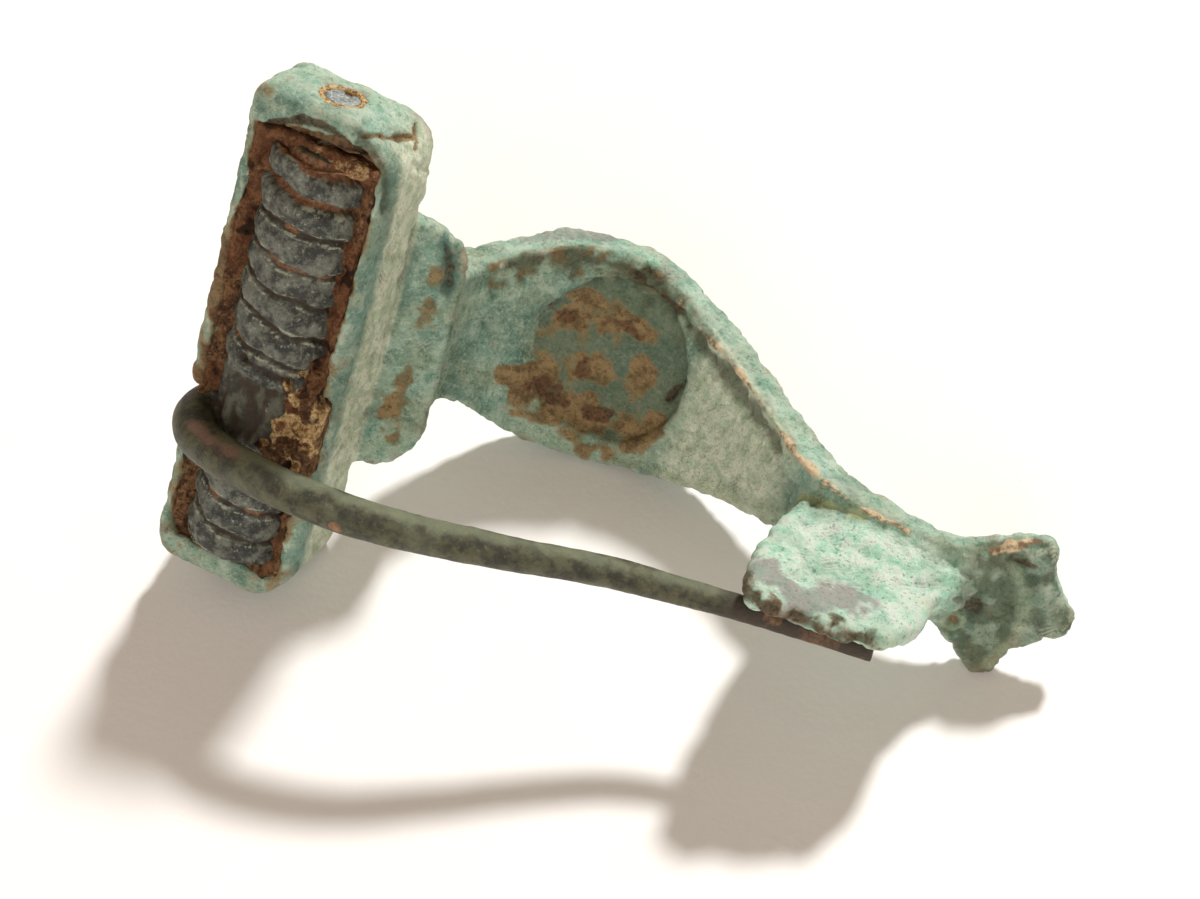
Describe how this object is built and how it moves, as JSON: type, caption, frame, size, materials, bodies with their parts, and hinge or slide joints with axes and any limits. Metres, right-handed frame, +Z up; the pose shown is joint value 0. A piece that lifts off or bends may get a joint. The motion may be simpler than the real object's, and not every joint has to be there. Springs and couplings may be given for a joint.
{
  "type": "roman fibula brooch",
  "caption": "Cast bronze knee brooch with a box-shaped spring case, arched bow, lobed foot, upright catch plate and a sprung pin, lying on its side.",
  "frame": {"origin": "middle of the brooch's box, on the surface that it lies on", "axes": "+X from the spring case to the foot, +Y towards the show side, +Z up"},
  "size_m": [0.0438, 0.0214, 0.0253],
  "materials": {
    "verdigris_bronze": "matt green patina with worn copper-coloured edges",
    "dark_wire": "dark olive patina, satin",
    "grey_rod": "dull grey metal"
  },
  "bodies": {
    "brooch": {"brooch_casting": "verdigris_bronze", "spring_axis_rod": "grey_rod"},
    "pin": {"spring_and_pin": "dark_wire"}
  },
  "joints": [
    {"name": "pin_spring", "type": "hinge", "parent": "brooch", "child": "pin", "pos_m": [-0.01601, -0.00279, 0.01277], "axis": [-0.1994, -0.3986, -0.8952], "range_deg": [0, 20], "stiffness_Nm_per_rad": 0.02}
  ]
}
